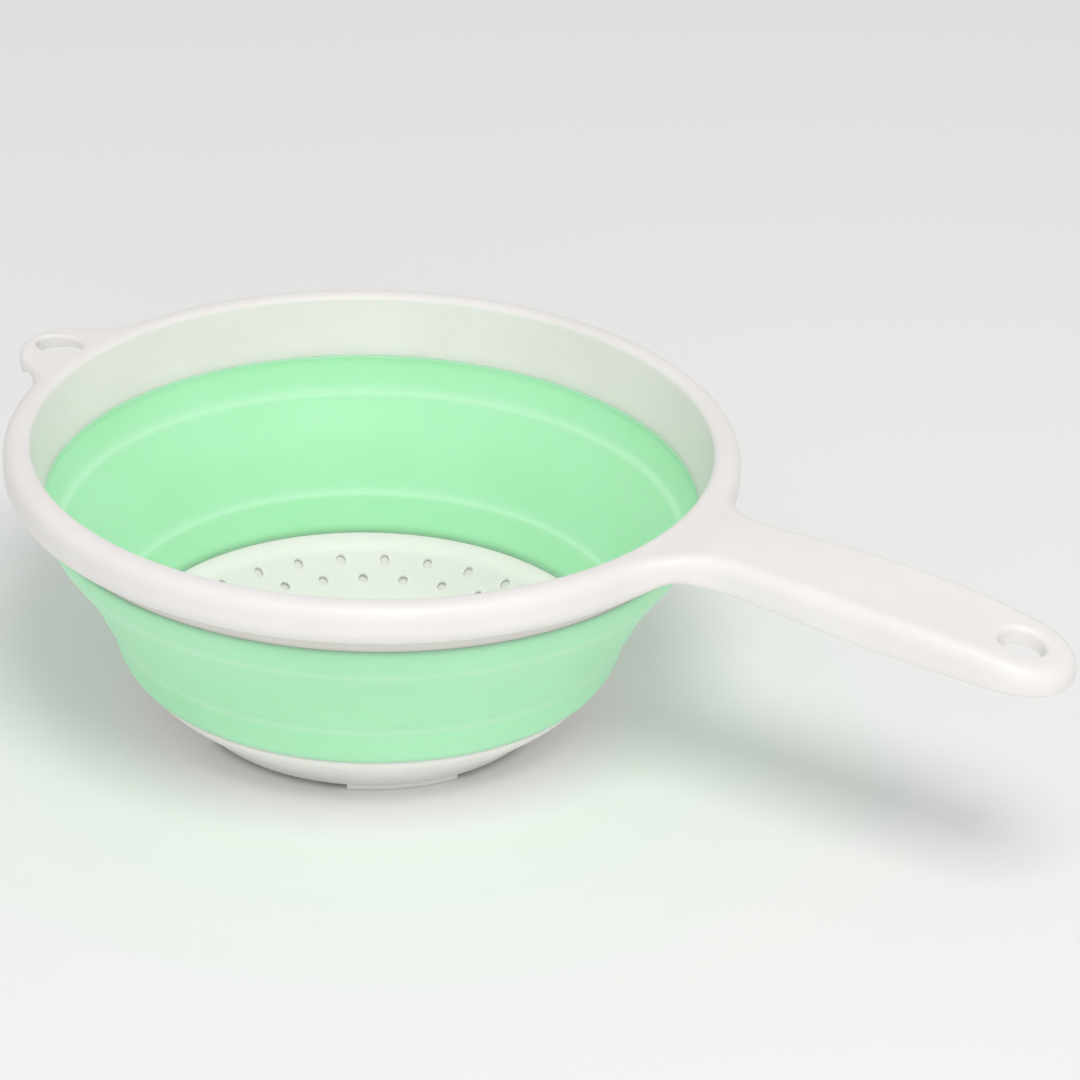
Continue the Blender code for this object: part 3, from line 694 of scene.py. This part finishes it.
def white_plastic(name, pale, deep, glow):
    """Satin polypropylene: an uneven off-white with a fine grain, faint flow marks, specks and scuffs."""
    look = Shading(name)
    clouds = look.spread(look.noise(26.0, 3.0), 0.35, 0.65, 0.0, 1.0)
    flow = look.spread(look.noise(9.0, 4.0, 0.6, (1.0, 2.6, 5.0)), 0.40, 0.62, 0.0, 1.0)
    grain = look.noise(2600.0, 2.0, 0.6)
    scuffs = look.spread(look.noise(160.0, 5.0, 0.7, (0.25, 1.0, 1.0)), 0.60, 0.74, 0.0, 1.0)
    specks = look.spread(look.cells(420.0), 0.03, 0.07, 1.0, 0.0)
    gate = look.near(GATE_MARK, GATE_RADIUS)
    # painted shade on the outside of the rim's band, where the lip overhangs it
    lip_shade = look.band(*LIP_SHADE_HEIGHTS, *LIP_SHADE_RADII)
    colour = look.tint(clouds, deep, pale)
    colour = look.tint(look.math("MULTIPLY", flow, 0.45), colour, deep)
    colour = look.tint(look.math("MULTIPLY", specks, 0.16), colour, SPECK_TONE)
    colour = look.tint(look.math("MULTIPLY", gate, 0.45), colour, GATE_TONE)
    colour = look.tint(look.math("MULTIPLY", lip_shade, 0.60), colour, LIP_SHADE_TONE)
    look.wire(colour, look.shader.inputs["Base Color"])
    rough = look.math("ADD", look.spread(look.noise(75.0, 3.0), 0.3, 0.7, 0.36, 0.46),
                      look.math("MULTIPLY", scuffs, -0.07))
    look.wire(rough, look.shader.inputs["Roughness"])
    look.bump(((look.noise(38.0, 2.0), 0.0009, 0.10), (grain, 0.00006, 0.55), (scuffs, 0.00003, 0.25),
               (gate, -0.0002, 0.8)))
    look.set(Subsurface_Weight=glow, Subsurface_Radius=(1.0, 0.9, 0.8), Subsurface_Scale=0.0025, IOR=1.49)
    return look.material


def mint_rubber():
    """Matt soft rubber, a little translucent, with a painted highlight along its fold lines, and a fine bloom
    and grain.
    """
    look = Shading("mint_rubber")
    crease = look.tree.nodes.new("ShaderNodeAttribute")
    crease.attribute_name = "crease"
    clouds = look.spread(look.noise(22.0, 3.0), 0.35, 0.65, 0.0, 1.0)
    bloom = look.spread(look.noise(140.0, 4.0, 0.65), 0.45, 0.75, 0.0, 1.0)
    grain = look.noise(1900.0, 3.0, 0.6)
    pores = look.spread(look.cells(900.0), 0.10, 0.25, 0.0, 1.0)
    colour = look.tint(clouds, *MINT_TONES)
    colour = look.tint(look.math("MULTIPLY", bloom, 0.16), colour, BLOOM_TONE)
    # painted highlight along the fold lines
    colour = look.tint(look.math("MULTIPLY", crease.outputs["Fac"], 0.45), colour, CREASE_HIGHLIGHT_TONE)
    look.wire(colour, look.shader.inputs["Base Color"])
    rough = look.math("ADD", look.spread(look.noise(60.0, 3.0), 0.3, 0.7, 0.46, 0.58),
                      look.math("MULTIPLY", bloom, 0.06))
    look.wire(rough, look.shader.inputs["Roughness"])
    look.bump(((look.noise(30.0, 2.0), 0.0012, 0.10), (grain, 0.00007, 0.6), (pores, 0.00004, 0.3)))
    look.set(Subsurface_Weight=0.45, Subsurface_Radius=(0.6, 1.0, 0.7), Subsurface_Scale=0.003, IOR=1.5,
             Sheen_Weight=0.08, Sheen_Roughness=0.5)
    return look.material


# ---------------------------------------------------------------- camera, light and floor
FOCAL_LENGTH, SENSOR_WIDTH = 160.0, 36.0     # millimetres
CLIP_RANGE = (0.05, 20.0)
CAMERA_DISTANCE = 1.50132                    # from the middle of the rim plane
CAMERA_AZIMUTH, CAMERA_ELEVATION = math.radians(32.2), math.radians(26.04)
CAMERA_TURNS = ((-2.012, "Y"), (-1.149, "X"), (1.044, "Z"))     # degrees about the camera's own axes, in turn
SKY_STRENGTH = 0.60
LIGHT_TARGET = Vector((0.0, 0.0, 0.05))
# name, place, diameter, watts and colour of each soft light
LIGHTS = (("key", (0.78, -0.84, 1.9), 0.9, 18.5, (1.0, 0.98, 0.965)),
          ("front", (1.35, -1.65, 0.62), 1.2, 4.2, (1.0, 0.99, 0.98)))
FLOOR_SPAN = 6.0                             # half the floor's side
FLOOR_COLOUR, FLOOR_ROUGHNESS = (0.92, 0.92, 0.92, 1.0), 0.9


def aim_camera():
    data = bpy.data.cameras.new("camera")
    camera = add_object("camera", data)
    bpy.context.scene.camera = camera
    data.lens = FOCAL_LENGTH
    data.sensor_width = SENSOR_WIDTH
    data.clip_start, data.clip_end = CLIP_RANGE
    level = math.cos(CAMERA_ELEVATION)
    back = Vector((math.sin(CAMERA_AZIMUTH) * level, -math.cos(CAMERA_AZIMUTH) * level,
                   math.sin(CAMERA_ELEVATION)))
    turn = back.to_track_quat("Z", "Y").to_matrix()
    for angle, axis in CAMERA_TURNS:
        turn = turn @ Matrix.Rotation(math.radians(angle), 3, axis)
    place = Vector((0.0, 0.0, RIM_PLANE)) + CAMERA_DISTANCE * back
    camera.matrix_world = Matrix.Translation(place) @ turn.to_4x4()


def area_light(name, place, size, power, colour):
    data = bpy.data.lights.new(name, "AREA")
    data.shape = "DISK"
    data.size = size
    data.energy = power
    data.color = colour
    light = add_object(name, data)
    light.location = place
    light.rotation_euler = (LIGHT_TARGET - Vector(place)).to_track_quat("-Z", "Y").to_euler()


def light_studio():
    world = bpy.data.worlds.new("studio")
    bpy.context.scene.world = world
    world.use_nodes = True
    background = world.node_tree.nodes["Background"]
    background.inputs["Color"].default_value = (1.0, 1.0, 1.0, 1.0)
    background.inputs["Strength"].default_value = SKY_STRENGTH
    for light in LIGHTS:
        area_light(*light)
    bpy.context.scene.view_settings.view_transform = "Standard"


def lay_floor():
    mesh = bpy.data.meshes.new("floor")
    corners = [(x * FLOOR_SPAN, y * FLOOR_SPAN, 0.0) for x, y in ((-1, -1), (1, -1), (1, 1), (-1, 1))]
    mesh.from_pydata(corners, [], [(0, 1, 2, 3)])
    material = bpy.data.materials.new("floor")
    material.use_nodes = True
    shader = material.node_tree.nodes["Principled BSDF"]
    shader.inputs["Base Color"].default_value = FLOOR_COLOUR
    shader.inputs["Roughness"].default_value = FLOOR_ROUGHNESS
    add_object("floor", mesh, material)


aim_camera()
base_white = white_plastic("base_white", *BASE_TONES, BASE_GLOW)
build_frame(white_plastic("frame_white", *FRAME_TONES, FRAME_GLOW))
build_wall(mint_rubber())
build_base(base_white)
build_feet(base_white)
light_studio()
lay_floor()
